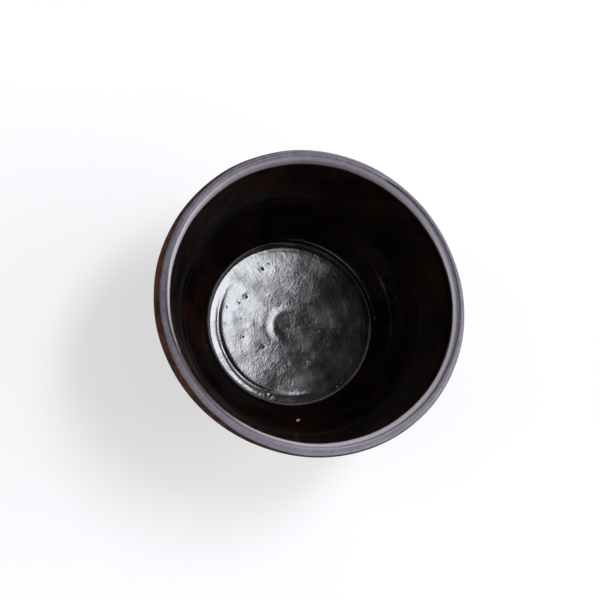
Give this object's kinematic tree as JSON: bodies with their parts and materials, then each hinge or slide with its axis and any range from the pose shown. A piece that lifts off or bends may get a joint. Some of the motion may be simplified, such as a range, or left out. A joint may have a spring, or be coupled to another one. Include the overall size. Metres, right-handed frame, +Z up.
{
  "type": "matcha bowl",
  "caption": "Wheel-thrown stoneware matcha bowl: flared wall, full rounded lip, dished tea well, bare turned foot ring and a dark iron glaze laid on in separate coats.",
  "frame": {"origin": "centre of the foot ring's standing face, on the surface that the bowl stands on", "axes": "+Z up along the axis that the bowl is thrown about; +X and +Y are any two level directions, because the bowl is round"},
  "size_m": [0.1184, 0.1184, 0.063],
  "materials": {
    "bare_clay": "matte",
    "dark_iron_glaze": "gloss",
    "rim_glaze": "satin"
  },
  "bodies": {
    "root": {"clay_body": "bare_clay", "foot_ring": "bare_clay", "inner_wall_glaze": "dark_iron_glaze", "well_glaze_pool": "dark_iron_glaze", "rim_glaze": "rim_glaze", "outer_wall_glaze": "dark_iron_glaze"}
  },
  "joints": []
}
